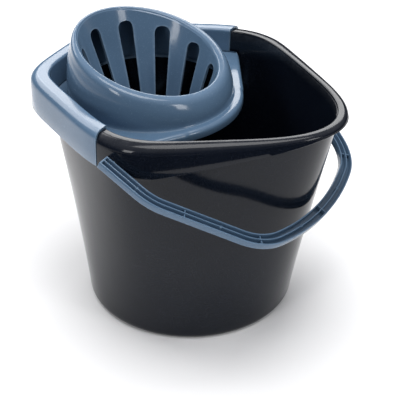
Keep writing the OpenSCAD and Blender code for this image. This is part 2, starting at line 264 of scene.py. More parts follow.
@dataclass(frozen=True)
class PaleFloor:
    """A matt white studio floor."""

    name: str = "studio_floor"
    colour: tuple[float, float, float] = (0.90, 0.90, 0.90)

    def make(self) -> bpy.types.Material:
        """Builds the floor's material and returns it."""
        material = bpy.data.materials.new(self.name)
        g = Graph(material)
        shader = g.add("BsdfDiffuse")
        at = g.add("TexCoord").outputs["Object"]
        pale = [min(1.0, channel * 1.02) for channel in self.colour]
        tone = g.mix(g.noise(at, 1.5, 2.0), self.colour, pale)
        g.join(tone, shader.inputs["Color"])
        out = g.add("OutputMaterial")
        g.join(shader.outputs["BSDF"], out.inputs["Surface"])
        return material


BLACK = MouldedPlastic("gloss_black", "black_plastic", (0.0036, 0.0054, 0.0100),
                       (0.0050, 0.0074, 0.0135), (0.050, 0.056, 0.066), 0.12, 0.28, 0.14,
                       0.03)
SLATE = MouldedPlastic("slate_blue", "slate_plastic", (0.080, 0.140, 0.220),
                       (0.092, 0.158, 0.246), (0.26, 0.36, 0.47), 0.13, 0.5, 0.12, 0.03)


class Finishes:
    """Makes each finish once and hands it out."""

    def __init__(self) -> None:
        """Starts with no finish made."""
        self._made: dict[str, bpy.types.Material] = {}

    def get(self, finish: MouldedPlastic | PaleFloor) -> bpy.types.Material:
        """Returns the material of a finish, made on first use."""
        if finish.name not in self._made:
            self._made[finish.name] = finish.make()
        return self._made[finish.name]

    def dress(self, piece: bpy.types.Object, finish: MouldedPlastic | PaleFloor) -> None:
        """Gives a piece one finish in place of what it had."""
        piece.data.materials.clear()
        piece.data.materials.append(self.get(finish))


# ---- Mesh work --------------------------------------------------------------------------


class Skin:
    """A surface that grows one loop of points at a time, by extruding the last loop."""

    def __init__(self, count: int, place: Place, closed: bool = True) -> None:
        """Makes the first loop.

        Args:
            count: How many points a loop has.
            place: Gives a point's place from its number along the loop.
            closed: Whether the loop's last point joins its first.
        """
        self.mesh: BMesh = bmesh.new()
        made = bmesh.ops.create_circle(self.mesh, segments=count, radius=1.0)
        self.loop: list[BMVert] = list(made["verts"])
        if not closed:
            seam = self.mesh.edges.get((self.loop[-1], self.loop[0]))
            bmesh.ops.delete(self.mesh, geom=[seam], context="EDGES_FACES")
        self.closed = closed
        self.first = list(self.loop)
        self.rows: list[list[BMVert]] = [self.first]
        self._put(place)

    def _put(self, place: Place) -> None:
        """Moves the points of the last loop to their places."""
        for number, vert in enumerate(self.loop):
            vert.co = place(number)

    def face_outward(self) -> "Skin":
        """Turns all faces of the closed skin outward."""
        bmesh.ops.recalc_face_normals(self.mesh, faces=self.mesh.faces)
        if self.mesh.calc_volume(signed=True) < 0.0:
            bmesh.ops.reverse_faces(self.mesh, faces=self.mesh.faces)
        return self

    def _edges(self) -> list[bmesh.types.BMEdge]:
        """Returns the edges of the last loop, in order."""
        ends = self.loop[1:] + ([self.loop[0]] if self.closed else [])
        return [self.mesh.edges.get(pair) for pair in zip(self.loop, ends)]

    def grow(self, place: Place) -> "Skin":
        """Extrudes the last loop and puts the new loop in its place.

        Args:
            place: Gives a point's place from its number along the loop.

        Returns:
            This skin.
        """
        made = bmesh.ops.extrude_edge_only(self.mesh, edges=self._edges())
        fresh = {item for item in made["geom"] if isinstance(item, BMVert)}
        self.loop = [next(edge.other_vert(vert) for edge in vert.link_edges
                          if edge.other_vert(vert) in fresh) for vert in self.loop]
        self.rows.append(self.loop)
        self._put(place)
        return self

    def close(self) -> "Skin":
        """Joins the last loop to the first, which it must lie on."""
        bmesh.ops.remove_doubles(self.mesh, verts=self.loop + self.first, dist=1e-7)
        return self

    def pole(self, loop: list[BMVert], centre: Vector) -> None:
        """Draws a loop together at one point."""
        bmesh.ops.pointmerge(self.mesh, verts=loop, merge_co=centre)

    def cap_ends(self) -> "Skin":
        """Fills the first and the last loop with a face each."""
        rim = [edge for edge in self.mesh.edges if edge.is_boundary]
        bmesh.ops.edgeloop_fill(self.mesh, edges=rim)
        return self

    def cut(self, at: Vector, facing: Vector) -> "Skin":
        """Cuts away what lies beyond a plane and closes the wall that is left.

        Args:
            at: A point of the plane.
            facing: The direction of the side that goes.

        Returns:
            This skin.
        """
        whole = self.mesh.verts[:] + self.mesh.edges[:] + self.mesh.faces[:]
        bmesh.ops.bisect_plane(self.mesh, geom=whole, plane_co=at, plane_no=facing,
                               clear_outer=True, dist=1e-7)
        rim = [edge for edge in self.mesh.edges if edge.is_boundary]
        bmesh.ops.holes_fill(self.mesh, edges=rim, sides=0)
        return self


class Workshop:
    """Turns bmeshes into finished pieces that ride on their bodies."""

    def __init__(self, finishes: Finishes) -> None:
        """Keeps the finishes that pieces are dressed in.

        Args:
            finishes: Where the materials come from.
        """
        self.finishes = finishes

    @staticmethod
    def smooth(mesh: BMesh, limit: float = 32.0) -> None:
        """Shades a mesh smooth, but for edges sharper than a limit in degrees."""
        for face in mesh.faces:
            face.smooth = True
        for edge in mesh.edges:
            edge.smooth = edge.calc_face_angle(0.0) < math.radians(limit)

    @staticmethod
    def soften(mesh: BMesh, keep: Callable[[bmesh.types.BMEdge], bool], width: float,
               limit: float = 50.0, rounds: int = 2) -> None:
        """Rounds the sharp edges that a test picks.

        Args:
            mesh: The mesh to round.
            keep: Says whether an edge is one to round.
            width: The rounding's size in millimetres.
            limit: The smallest angle between faces that counts as sharp, in degrees.
            rounds: How many faces make the rounding.
        """
        picked = [edge for edge in mesh.edges
                  if edge.calc_face_angle(0.0) > math.radians(limit) and keep(edge)]
        bmesh.ops.bevel(mesh, geom=picked, offset=width * MM, offset_type="OFFSET",
                        segments=rounds, profile=0.5, affect="EDGES", material=-1,
                        clamp_overlap=True)

    @staticmethod
    def as_object(name: str, mesh: BMesh) -> bpy.types.Object:
        """Makes an object at the origin from a bmesh, and frees the bmesh."""
        data = bpy.data.meshes.new(name)
        mesh.to_mesh(data)
        mesh.free()
        piece = bpy.data.objects.new(name, data)
        bpy.context.scene.collection.objects.link(piece)
        return piece

    @staticmethod
    def settle(piece: bpy.types.Object) -> BMesh:
        """Applies a piece's modifiers, removes the piece and returns its mesh."""
        bpy.context.view_layer.update()
        graph = bpy.context.evaluated_depsgraph_get()
        mesh = bmesh.new()
        mesh.from_mesh(piece.evaluated_get(graph).to_mesh())
        data = piece.data
        bpy.data.objects.remove(piece)
        bpy.data.meshes.remove(data)
        return mesh

    def carve(self, mesh: BMesh, tool: BMesh) -> BMesh:
        """Cuts one closed mesh out of another.

        Args:
            mesh: What is cut.
            tool: What is taken away.

        Returns:
            The carved mesh.
        """
        piece = self.as_object("carved", mesh)
        cutter = self.as_object("cutter", tool)
        step = piece.modifiers.new("cut", "BOOLEAN")
        step.operation, step.solver, step.object = "DIFFERENCE", "EXACT", cutter
        carved = self.settle(piece)
        data = cutter.data
        bpy.data.objects.remove(cutter)
        bpy.data.meshes.remove(data)
        return carved

    def thicken(self, mesh: BMesh, thickness: float) -> BMesh:
        """Gives a sheet a wall behind its face.

        Args:
            mesh: The sheet.
            thickness: The wall in millimetres.

        Returns:
            The closed mesh.
        """
        piece = self.as_object("sheet", mesh)
        step = piece.modifiers.new("wall", "SOLIDIFY")
        step.thickness, step.offset, step.use_even_offset = thickness * MM, -1.0, True
        return self.settle(piece)

    def finish(self, name: str, mesh: BMesh, body: Body, finish: MouldedPlastic,
               nodes: Iterable[str] = (), limit: float = 32.0) -> bpy.types.Object:
        """Makes the finished piece.

        Args:
            name: The piece's name.
            mesh: Its mesh.
            body: The body it rides on.
            finish: Its plastic.
            nodes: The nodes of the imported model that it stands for.
            limit: The sharpest angle in degrees that is still shaded smooth.

        Returns:
            The piece.
        """
        self.smooth(mesh, limit)
        faces = len(mesh.faces)
        piece = self.as_object(name, mesh)
        self.finishes.dress(piece, finish)
        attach(piece, body.value)
        if nodes:
            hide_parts(*nodes)
        LOG.info("%s: %d faces on %s", name, faces, body.value)
        return piece

    def carry_over(self, names: Iterable[str], finish: MouldedPlastic) -> None:
        """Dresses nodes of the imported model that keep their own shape."""
        for name in names:
            self.finishes.dress(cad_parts[name], finish)
            LOG.info("%s: carried over", name)


# ---- The rim's plan ---------------------------------------------------------------------


@dataclass(frozen=True)
class RimPlan:
    """The rim's outline: five flanks blended with a power that softens toward the rear
    corners and sharpens at the spout, and the wall that tapers from it to the base."""

    end: float = 85.4
    rear: float = 98.2
    rear_turn: float = 62.0
    front: float = 163.0
    front_turn: float = 56.0
    back: float = 66.0
    rear_power: float = 8.5
    spout_power: float = 3.3
    base_radius: float = 117.0
    base_round: float = 8.0
    wall: float = 2.5
    height: float = 260.0
    skirt_out: float = 17.0
    spout_out: float = 8.5
    skirt_drop: float = 38.0
    skirt_turn: float = 25.0
    skirt_rise: float = 0.228
    flare: float = 0.3
    arm_end: float = -21.0
    pivot: tuple[float, float] = (0.5, 236.0)
    shift: float = -7.169

    def reach(self, bearing: float, out: float) -> float:
        """Returns how far the outline lies from the rim's centre at a bearing."""
        power = blend(self.rear_power, self.spout_power, (0.5 + 0.5 * cosd(bearing)) ** 3)
        flanks = ((180.0, self.end), (180.0 - self.rear_turn, self.rear),
                  (self.rear_turn - 180.0, self.rear), (self.front_turn, self.front),
                  (-self.front_turn, self.front))
        pull = sum(max(0.0, cosd(bearing - turn) / (far + out)) ** power
                   for turn, far in flanks)
        return pull ** (-1.0 / power)

    def edge(self, bearing: float, out: float) -> tuple[float, float]:
        """Returns the outline's point at a bearing, moved out square to its flanks."""
        far = self.reach(bearing, out)
        return far * cosd(bearing) - self.back, far * sind(bearing)

    def level(self, bearing: float, out: float, height: float) -> Vector:
        """Returns the outline's point at a height, in metres in the model's frame."""
        x, y = self.edge(bearing, out)
        return Vector((x + self.shift, y, height)) * MM

    def on_wall(self, bearing: float, out: float, height: float) -> Vector:
        """Returns a point of the tapering wall, in metres in the model's frame."""
        x, y = self.edge(bearing, out)
        share = (height - self.base_round) / (self.height - self.base_round)
        base = (self.base_radius - self.wall + out) / math.hypot(x, y)
        scale = share + (1.0 - share) * base
        return Vector((x * scale + self.shift, y * scale, height)) * MM

    def round_base(self, bearing: float, radius: float, height: float) -> Vector:
        """Returns a point of the round base under the wall's point at a bearing."""
        x, y = self.edge(bearing, self.wall)
        scale = radius / math.hypot(x, y)
        return Vector((x * scale + self.shift, y * scale, height)) * MM

    def bearings(self, count: int) -> list[float]:
        """Returns bearings that spread evenly along the rim."""
        turns = (i * 360.0 / count for i in range(count))
        return [turn - 20.0 * sind(turn) for turn in turns]

    def skirt_at(self, x: float) -> float:
        """Returns how far the skirt stands out at a place along X."""
        share = (x - self.skirt_turn) / (160.0 - self.skirt_turn)
        return blend(self.skirt_out, self.spout_out, max(0.0, min(1.0, share)))

    def skirt_low(self, x: float) -> float:
        """Returns the height of the skirt's lower edge at a place along X."""
        return self.height - self.skirt_drop + self.skirt_rise * max(0.0, x - self.skirt_turn)


def arc(centre: tuple[float, float], radius: float, start: float, end: float,
        parts: int) -> list[tuple[float, float]]:
    """Returns points of a section's rounding, from straight up and clockwise.

    Args:
        centre: The rounding's centre, as distance out and height.
        radius: Its radius.
        start: The angle of its first point in degrees, 0 straight up and 90 outward.
        end: The angle of its last point.
        parts: How many parts it has.

    Returns:
        The points, as distance out and height.
    """
    turns = (blend(start, end, i / parts) for i in range(parts + 1))
    return [(centre[0] + radius * sind(t), centre[1] + radius * cosd(t)) for t in turns]


# ---- Bucket -----------------------------------------------------------------------------


@dataclass
class Tub:
    """The black tub: a tapering wall on a round base, a rolled rim with a skirt, a lower
    step where the wringer's collar sits, and a finger pocket under its rear edge."""

    shop: Workshop
    plan: RimPlan = field(default_factory=RimPlan)
    columns: int = 264
    foot_height: float = 5.5
    foot_width: float = 4.0
    corner_round: float = 7.0
    roll: float = 11.0
    step_roll: float = 9.0
    step_out: float = 14.1
    step_drop: float = 32.0
    grip_depth: float = 27.0
    grip_half: float = 36.0
    grip_height: float = 20.0
    grip_corner: float = 14.0
    inner_rows: tuple[float, ...] = (22.0, 40.0, 70.0, 100.0, 130.0, 160.0, 190.0, 220.0,
                                     245.0)
    outer_rows: tuple[float, ...] = (245.0, 220.0, 190.0, 160.0, 130.0, 100.0, 70.0, 45.0,
                                     26.0, 14.0)
    pocket_round: float = 0.7
    bore_radius: float = 3.55

    def _shell(self) -> BMesh:
        """Grows the wall, floor and foot as one closed skin."""
        plan, turns = self.plan, self.plan.bearings(self.columns)
        floor = plan.base_round

        def inside(share: float) -> Place:
            """Returns the places of a loop across the floor."""
            return lambda i: Vector((
                blend(plan.shift * MM, plan.on_wall(turns[i], 0.0, floor).x, share),
                plan.on_wall(turns[i], 0.0, floor).y * share, floor * MM))

        def fillet(turn: float) -> Place:
            """Returns the places of a loop round the corner of floor and wall."""
            def at(i: int) -> Vector:
                """Returns one point of the corner."""
                r = self.corner_round
                foot = plan.on_wall(turns[i], 0.0, floor + r)
                x, y = foot.x - plan.shift * MM, foot.y
                scale = 1.0 - r * (1.0 - sind(turn)) * MM / math.hypot(x, y)
                return Vector((x * scale + plan.shift * MM, y * scale,
                               (floor + r - r * cosd(turn)) * MM))
            return at

        def wall(out: float, height: float) -> Place:
            """Returns the places of a loop on the wall."""
            return lambda i: plan.on_wall(turns[i], out, height)

        def base(radius: float, height: float) -> Place:
            """Returns the places of a loop on the round base."""
            return lambda i: plan.round_base(turns[i], radius, height)

        skin = Skin(self.columns, inside(0.06))
        for share in (0.25, 0.5, 0.75, 0.9):
            skin.grow(inside(share))
        for turn in (0.0, 18.0, 36.0, 54.0, 72.0, 90.0):
            skin.grow(fillet(turn))
        top = plan.height - 3.0
        for height in (*self.inner_rows, top):
            skin.grow(wall(0.0, height))
        for height in (top, *self.outer_rows, floor):
            skin.grow(wall(plan.wall, height))
        c = plan.base_radius - plan.base_round
        for turn in (15.0, 30.0, 45.0, 60.0, 75.0, 90.0):
            skin.grow(base(c + plan.base_round * cosd(turn),
                           plan.base_round * (1.0 - sind(turn))))
        inner = c - self.foot_width
        for radius, height in ((inner + 0.9, 0.0), (inner + 0.3, 0.2), (inner, 0.9),
                               (inner - 0.2, 4.2), (inner - 0.6, 5.1),
                               (inner - 1.6, self.foot_height), (80.0, self.foot_height),
                               (50.0, self.foot_height), (16.0, self.foot_height),
                               (15.0, 6.2), (7.0, 6.2)):
            skin.grow(base(radius, height))
        centre = Vector((plan.shift, 0.0, 6.2)) * MM
        skin.pole(skin.loop, centre)
        skin.pole(skin.first, Vector((plan.shift, 0.0, floor)) * MM)
        return skin.face_outward().mesh

    def _pocket(self) -> BMesh:
        """Shapes the space that fingers use under the rear edge."""
        tool = bmesh.new()
        bmesh.ops.create_cube(tool, size=1.0)
        depth, height = 12.0 + self.grip_depth, self.grip_height + 1.0
        bmesh.ops.scale(tool, verts=tool.verts,
                        vec=Vector((depth, 2.0 * self.grip_half, height)) * MM)
        x = self.plan.shift - self.plan.base_radius - 12.0 + depth / 2.0
        bmesh.ops.translate(tool, verts=tool.verts,
                            vec=Vector((x, 0.0, height / 2.0 - 1.0)) * MM)
        far = x * MM + depth / 2.0 * MM - 1e-6
        posts = [edge for edge in tool.edges if all(vert.co.x > far for vert in edge.verts)
                 and abs(edge.verts[0].co.z - edge.verts[1].co.z) > 1e-3]
        bmesh.ops.bevel(tool, geom=posts, offset=self.grip_corner * MM, segments=12,
                        profile=0.5, affect="EDGES", material=-1, offset_type="OFFSET")
        return tool

    def _bounds_pocket(self, edge: bmesh.types.BMEdge) -> bool:
        """Says whether an edge lies on the mouth or the corners of the finger pocket."""
        slack = 0.6
        back = self.plan.shift - self.plan.base_radius + self.grip_depth + 4.0
        return all(vert.co.x < back * MM and vert.co.z < (self.grip_height + slack) * MM
                   and abs(vert.co.y) < (self.grip_half + slack) * MM
                   for vert in edge.verts)

    def _pin_holes(self) -> BMesh:
        """Shapes the two bores that the bail's pins pass through."""
        tool = bmesh.new()
        x, z = self.plan.pivot
        for side in Side:
            made = bmesh.ops.create_cone(tool, cap_ends=True, segments=40, depth=0.02,
                                         radius1=self.bore_radius * MM,
                                         radius2=self.bore_radius * MM)
            bmesh.ops.rotate(tool, verts=made["verts"], cent=(0.0, 0.0, 0.0),
                             matrix=Matrix.Rotation(math.radians(90.0), 3, "X"))
            bmesh.ops.translate(tool, verts=made["verts"],
                                vec=Vector((x + self.plan.shift, side.value * 153.0, z)) * MM)
        bmesh.ops.recalc_face_normals(tool, faces=tool.faces)
        return tool

    def _lip_section(self, bearing: float) -> list[tuple[float, float]]:
        """Returns the open rim's section at a bearing: lip, roll and skirt."""
        plan = self.plan
        x = plan.edge(bearing, 0.0)[0]
        out, h, w = plan.skirt_at(x), plan.height, plan.wall
        r = min(self.roll, out - 4.0)
        low = min(h - r - 1.0, plan.skirt_low(x))
        foot = out + plan.flare
        return ([(0.0, h - 3.0), (0.0, h - 1.3)] + arc((1.3, h - 1.3), 1.3, -70.0, 0.0, 3)
                + [(blend(1.3, out - r, 0.5), h)] + arc((out - r, h - r), r, 0.0, 90.0, 10)
                + [(blend(out, foot, 0.5), blend(h - r, low, 0.5)), (foot, low + 0.7),
                   (foot - 0.25, low + 0.2), (foot - 0.8, low), (foot - w + 0.7, low),
                   (foot - w + 0.1, low + 0.3), (out - w, low + 0.9)]
                + arc((out - r, h - r), r - w, 90.0, 0.0, 6)
                + [(w, h - w), (w, h - 3.0)])

    def _step_section(self) -> list[tuple[float, float]]:
        """Returns the section of the lower step under the collar."""
        h, w, r, out = self.plan.height, self.plan.wall, self.step_roll, self.step_out
        low = h - self.step_drop
        return ([(0.0, h - 3.0), (0.0, h - 1.2)] + arc((1.2, h - 1.2), 1.2, -70.0, 0.0, 2)
                + arc((out - r, h - r), r, 0.0, 90.0, 8)
                + [(out, low + 0.5), (out - 0.5, low), (out - w + 0.5, low),
                   (out - w, low + 0.5)]
                + arc((out - r, h - r), r - w, 90.0, 0.0, 5) + [(w, h - w), (w, h - 3.0)])

    def _rolled(self, sections: Callable[[float], list[tuple[float, float]]],
                facing: float) -> BMesh:
        """Carries a section round the rim and keeps one side of the arms' end.

        Args:
            sections: Gives the section at a bearing.
            facing: 1 keeps the wringer's side, -1 the spout's.

        Returns:
            The closed mesh.
        """
        turns = self.plan.bearings(self.columns)
        rings = [sections(turn) for turn in turns]

        def at(k: int) -> Place:
            """Returns the places of the loop through one point of the section."""
            return lambda i: self.plan.level(turns[i], *rings[i][k])

        skin = Skin(self.columns, at(0))
        for k in range(1, len(rings[0])):
            skin.grow(at(k))
        place = Vector((self.plan.arm_end + self.plan.shift, 0.0, 0.0)) * MM
        skin.grow(at(0)).close().cut(place, Vector((facing, 0.0, 0.0)))
        return skin.face_outward().mesh

    def build(self) -> None:
        """Makes the shell, the rim and the step, and dresses the bosses and the grip."""
        shell = self.shop.carve(self._shell(), self._pocket())
        self.shop.soften(shell, self._bounds_pocket, self.pocket_round)
        self.shop.finish("tub_shell", shell, Body.BUCKET, BLACK,
                         ("tub_wall", "tub_floor", "foot_ring"))
        rim = self.shop.carve(self._rolled(self._lip_section, -1.0), self._pin_holes())
        self.shop.finish("open_rim", rim, Body.BUCKET, BLACK, ("rim_lip", "rim_skirt"))
        step = self._rolled(lambda _: self._step_section(), 1.0)
        self.shop.finish("collar_step", step, Body.BUCKET, BLACK, ("rim_step", "step_skirt"))
        self.shop.carry_over(("hand_grip", "pivot_boss_near", "pivot_boss_far"), BLACK)


# ---- Wringer ----------------------------------------------------------------------------


@dataclass
class Wringer:
    """The slate wringer: a collar over the rim, a tray with a turned-down apron, and a
    tilted ring that carries the slotted cone."""

    shop: Workshop
    plan: RimPlan = field(default_factory=RimPlan)
    plate: float = 2.6
    fit_gap: float = 0.3
    end_gap: float = 1.5
    collar_roll: float = 9.0
    collar_drop: float = 36.0
    tray_height: float = 235.0
    ring_back: float = 50.0
    ring_foot: float = 91.0
    lip_radius: float = 86.0
    lip_height: float = 284.0
    lip_tilt: float = 15.7
    apron: float = 102.0
    tray_side: float = 33.0
    shoulder: tuple[float, float] = (-12.0, 3.0)
    waist: float = 0.6
    flange: float = 8.0
    cone_x: float = -45.0
    cone_tip: float = 60.0
    cone_slope: float = 0.34
    cone_low: float = 150.0
    slots: int = 11
    ring_bulge: float = 3.2
    foot_fillet: float = 4.0
    mouth_round: float = 2.6
    lip_round: float = 4.6
    apron_round: float = 5.0
    crease: float = 1.0
    slot_drop: float = 13.0
    slot_top: float = 17.5
    slot_low: float = 8.5
    slot_parts: int = 6
    bar_parts: int = 6

    # -- collar

    def _collar_section(self) -> list[tuple[float, float]]:
        """Returns the collar's section, an inverted channel with a rounded back."""
        out, r, p = self.plan.skirt_out, self.collar_roll, self.plate
        h = self.plan.height + p + self.fit_gap
        low, tray = self.plan.height - self.collar_drop, self.tray_height - p
        edge = -p - self.fit_gap
        foot = out + self.plan.flare
        return ([(edge, tray), (edge, 240.0), (edge, 250.0), (edge, h - 3.2)]
                + arc((edge + 3.0, h - 3.0), 3.0, -80.0, 0.0, 5)
                + [(blend(edge + 3.0, out - r, 0.6), h)]
                + arc((out - r, h - r), r, 0.0, 90.0, 12)
                + [(blend(out, foot, 0.5), blend(h - r, low, 0.5)), (foot, low + 0.8),
                   (foot - 0.25, low + 0.2), (foot - 0.8, low), (foot - p + 0.7, low),
                   (foot - p + 0.1, low + 0.3), (out - p, low + 1.0)]
                + arc((out - r, h - r), r - p, 90.0, 0.0, 6)
                + [(-self.fit_gap, h - p), (-self.fit_gap, 250.0), (-self.fit_gap, tray)])

    def _collar(self) -> BMesh:
        """Carries the collar's section round the rear of the rim."""
        plan, count = self.plan, 264
        turns, section = plan.bearings(count), self._collar_section()

        def at(k: int) -> Place:
            """Returns the places of the loop through one point of the section."""
            out, height = section[k]
            if out < 0.0 and height < plan.height - 3.0:
                return lambda i: plan.on_wall(turns[i], out, height)
            return lambda i: plan.level(turns[i], out, height)

        skin = Skin(count, at(0))
        for k in range(1, len(section)):
            skin.grow(at(k))
        end = Vector((plan.arm_end - self.end_gap + plan.shift, 0.0, 0.0)) * MM
        skin.grow(at(0)).close().cut(end, Vector((1.0, 0.0, 0.0)))
        return skin.face_outward().mesh

    # -- tray

    def _tray_reach(self, bearing: float) -> tuple[float, float]:
        """Measures the tray along a ray from the ring's axis.

        Args:
            bearing: The ray's bearing.

        Returns:
            How far the tray reaches, and how deep its edge is turned down.
        """
        plan, c, s = self.plan, cosd(bearing), sind(bearing)
        limits = []
        if c > 1e-6:
            limits.append((self.tray_side + self.ring_back) / c)
        a = (self.shoulder[0], self.rim_half - self.shoulder[1])
        b = (self.tray_side, self.apron * self.waist)
        nx, ny = a[1] - b[1], b[0] - a[0]
        reach = c * nx + abs(s) * ny
        if reach > 1e-6:
            limits.append(((a[0] + self.ring_back) * nx + a[1] * ny) / reach)
        free = max(self.apron, min(limits, default=999.0))
        low, high = 20.0, 220.0
        for _ in range(34):
            mid = (low + high) / 2.0
            if self._inside_wall(-self.ring_back + mid * c, mid * s):
                low = mid
            else:
                high = mid
        if low < free + 0.01:
            return low, self.plate
        x = -self.ring_back + free * c
        share = max(0.0, min(1.0, (x - plan.arm_end + 10.0) / 6.0))
        return free, self.plate + self.flange * share

    @cached_property
    def rim_half(self) -> float:
        """The half width of the rim's inner edge."""
        return max(self.plan.edge(t, 0.0)[1] for t in self.plan.bearings(96))

    @cached_property
    def inner_leg(self) -> list[tuple[float, float]]:
        """The collar's inner leg at the tray's height, as turns and distances in order."""
        plan = self.plan
        points = (plan.on_wall(t, -self.plate - self.fit_gap, self.tray_height - 2.0)
                  for t in plan.bearings(720))
        return sorted((math.atan2(p.y, p.x - plan.shift * MM),
                       math.hypot(p.x / MM - plan.shift, p.y / MM)) for p in points)

    def _inside_wall(self, x: float, y: float) -> bool:
        """Says whether a place lies inside the collar's inner leg at the tray's height."""
        turn, table = math.atan2(y, x), self.inner_leg
        lo, hi = 0, len(table) - 1
        while hi - lo > 1:
            mid = (lo + hi) // 2
            lo, hi = (mid, hi) if table[mid][0] <= turn else (lo, mid)
        (t0, r0), (t1, r1) = table[lo], table[hi]
        share = max(0.0, min(1.0, (turn - t0) / max(1e-9, t1 - t0)))
        return math.hypot(x, y) < blend(r0, r1, share)

    def _tray(self) -> BMesh:
        """Grows the tray and its turned-down edge as one closed skin."""
        count = 288
        turns = [i * 360.0 / count for i in range(count)]
        reach = [self._tray_reach(t) for t in turns]
        top, p, big = self.tray_height, self.plate, self.apron_round
        inner = self.ring_foot - p

        def at(radius: Callable[[int], float], height: Callable[[int], float]) -> Place:
            """Returns the places of a loop from its radii and heights."""
            return lambda i: Vector((
                -self.ring_back + radius(i) * cosd(turns[i]) + self.plan.shift,
                radius(i) * sind(turns[i]), height(i))) * MM

        def wall_side(i: int) -> bool:
            """Says whether the tray meets the collar in this column."""
            return reach[i][1] <= p + 1e-6

        def across(share: float) -> Place:
            """Returns the places of a loop across the tray's upper face."""
            return at(lambda i: blend(inner, max(inner + 1.0, reach[i][0] - 6.0), share),
                      lambda i: top)

        def rim(back: float, up: float, down: float) -> Place:
            """Returns the places of a loop at the tray's edge: up a fillet, or round it."""
            return at(lambda i: max(inner + 1.0, reach[i][0] - (0.0 if wall_side(i) else
                                                               back)),
                      lambda i: top + (up if wall_side(i) else -down))

        def edge(back: float, lift: float) -> Place:
            """Returns the places of a loop on the turned-down edge."""
            return at(lambda i: max(inner + 0.5, reach[i][0] - back),
                      lambda i: top - reach[i][1] + lift)

        skin = Skin(count, at(lambda i: inner, lambda i: top - p))
        skin.grow(at(lambda i: inner, lambda i: top))
        for share in (0.2, 0.45, 0.7, 1.0):
            skin.grow(across(share))
        skin.grow(at(lambda i: max(inner + 1.0, reach[i][0] - (1.0 if wall_side(i) else
                                                            big)),
                     lambda i: top + (0.5 if wall_side(i) else 0.0)))
        for step, lift in enumerate((0.8, 1.1, 1.5, 1.9, 2.4)):
            turn = 18.0 * (step + 1)
            skin.grow(rim(big * (1.0 - sind(turn)), lift, big * (1.0 - cosd(turn))))
        for back, lift in ((0.0, 0.7), (0.2, 0.2), (0.7, 0.0), (p - 0.7, 0.0), (p, 0.6)):
            skin.grow(edge(back, lift))
        skin.grow(at(lambda i: max(inner + 0.4, reach[i][0] - p - (0.0 if wall_side(i) else
                                                                   big * 0.7)),
                     lambda i: top - p))
        skin.grow(at(lambda i: inner, lambda i: top - p)).close()
        return skin.face_outward().mesh

    # -- ring, lip and cone

    def _lip(self, bearing: float, radius: float, height: float) -> Vector:
        """Returns a point on the tilted circle of the lip, moved off its plane."""
        c, s = cosd(self.lip_tilt), sind(self.lip_tilt)
        x = -self.ring_back + radius * cosd(bearing) * c + height * s
        z = self.lip_height - radius * cosd(bearing) * s + height * c
        return Vector((x + self.plan.shift, radius * sind(bearing), z)) * MM

    def _foot(self, bearing: float, radius: float, height: float) -> Vector:
        """Returns a point round the ring's upright axis."""
        return Vector((-self.ring_back + radius * cosd(bearing) + self.plan.shift,
                       radius * sind(bearing), height)) * MM

    def _wall_ends(self, bearing: float) -> tuple[Vector, Vector]:
        """Returns the ends of the ring's wall: at the lip, and over the tray's fillet."""
        return (self._lip(bearing, self.lip_radius, 0.0),
                self._foot(bearing, self.ring_foot, self.tray_height + self.foot_fillet))

    def _cone(self, bearing: float, height: float) -> Vector:
        """Returns a point of the cone's inner face."""
        r = self.cone_slope * (height - self.cone_tip)
        return Vector((self.cone_x + r * cosd(bearing) + self.plan.shift, r * sind(bearing),
                       height)) * MM

    def _mouth(self, bearing: float, out: float, rise: float) -> Vector:
        """Returns a point of the cone's mouth, pushed out, a rise off the lip's plane."""
        slope = math.tan(math.radians(self.lip_tilt))
        top = self.lip_height + rise + slope * (self.cone_x * -1.0 - self.ring_back)
        r = (self.cone_slope * (top - self.cone_tip) + out) / (
            1.0 + self.cone_slope * slope * cosd(bearing))
        return Vector((self.cone_x + r * cosd(bearing) + self.plan.shift,
                       r * sind(bearing), top - slope * r * cosd(bearing))) * MM

    def _crest(self, bearing: float, step: int) -> Vector:
        """Returns a point of the rounded lip between the cone's mouth and the ring.

        Args:
            bearing: The point's bearing.
            step: 0 to 5 over the inner rounding, 6 on the flat, 7 to 13 over the outer one.

        Returns:
            The place.
        """
        inner, outer = self._mouth(bearing, 0.0, 0.0), self._wall_ends(bearing)[0]
        wide = (outer - inner).length / MM
        away, down = (outer - inner).normalized(), -self._lip_normal()
        small = min(self.mouth_round, 0.3 * wide)
        large = min(self.lip_round, 0.62 * wide)
        if step == 0:
            return self._mouth(bearing, 0.0, -small)
        if step <= 5:
            turn = step * 18.0
            return inner + (away * small * (1.0 - cosd(turn))
                            + down * small * (1.0 - sind(turn))) * MM
        if step == 6:
            return inner + away * blend(small, wide - large, 0.5) * MM
        share, start = (step - 7) / 6.0, outer - away * large * MM
        end = self._ring_wall(bearing, large)
        return start * (1.0 - share) ** 2 + outer * 2.0 * share * (1.0 - share) \
            + end * share ** 2

    def _ring_wall(self, bearing: float, down: float) -> Vector:
        """Returns a point of the ring's wall, which swells outward but for a soft crease.

        Args:
            bearing: The point's bearing.
            down: The distance below the lip in millimetres.

        Returns:
            The place.
        """
        high, foot = self._wall_ends(bearing)
        tall = (foot - high).length / MM
        share = min(1.0, down / tall)
        swell = self.ring_bulge * min(1.0, tall / 40.0) * 4.0 * share * (1.0 - share)
        rear = (0.5 - 0.5 * cosd(bearing)) ** 3
        crease = self.crease * rear * math.exp(-((share * tall - 9.5) / 2.6) ** 2)
        return high.lerp(foot, share) + Vector((cosd(bearing), sind(bearing), 0.0)) * (
            swell - crease) * MM

    def _lip_normal(self) -> Vector:
        """Returns the direction square to the lip's plane."""
        return Vector((sind(self.lip_tilt), 0.0, cosd(self.lip_tilt)))

